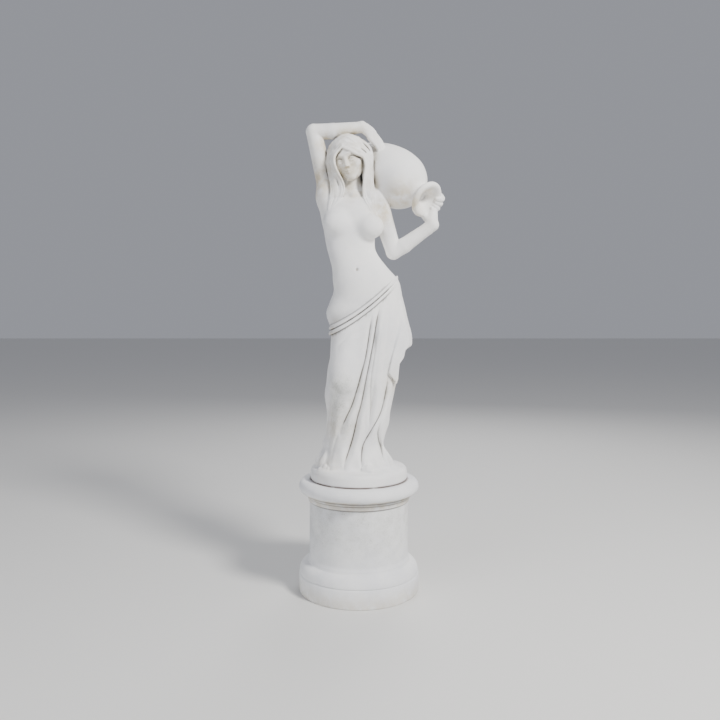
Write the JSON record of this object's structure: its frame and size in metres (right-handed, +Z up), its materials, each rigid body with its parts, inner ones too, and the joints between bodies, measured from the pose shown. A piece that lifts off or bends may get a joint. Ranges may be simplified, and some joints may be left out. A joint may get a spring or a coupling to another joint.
{
  "type": "garden statue",
  "caption": "Cast stone garden statue of a draped water carrier holding a jug on one shoulder, on a round moulded plinth.",
  "frame": {"origin": "centre of the plinth's flat underside, on the plinth's axis", "axes": "+Z up along the plinth's axis, -Y the way the figure looks, +X to the figure's left, where the jug is"},
  "size_m": [0.4842, 0.402, 1.5498],
  "materials": {
    "cast_stone_figure": "matt, weathered",
    "cast_stone_plinth": "matt, weathered"
  },
  "bodies": {
    "root": {"figure": "cast_stone_figure", "plinth": "cast_stone_plinth"}
  },
  "joints": []
}
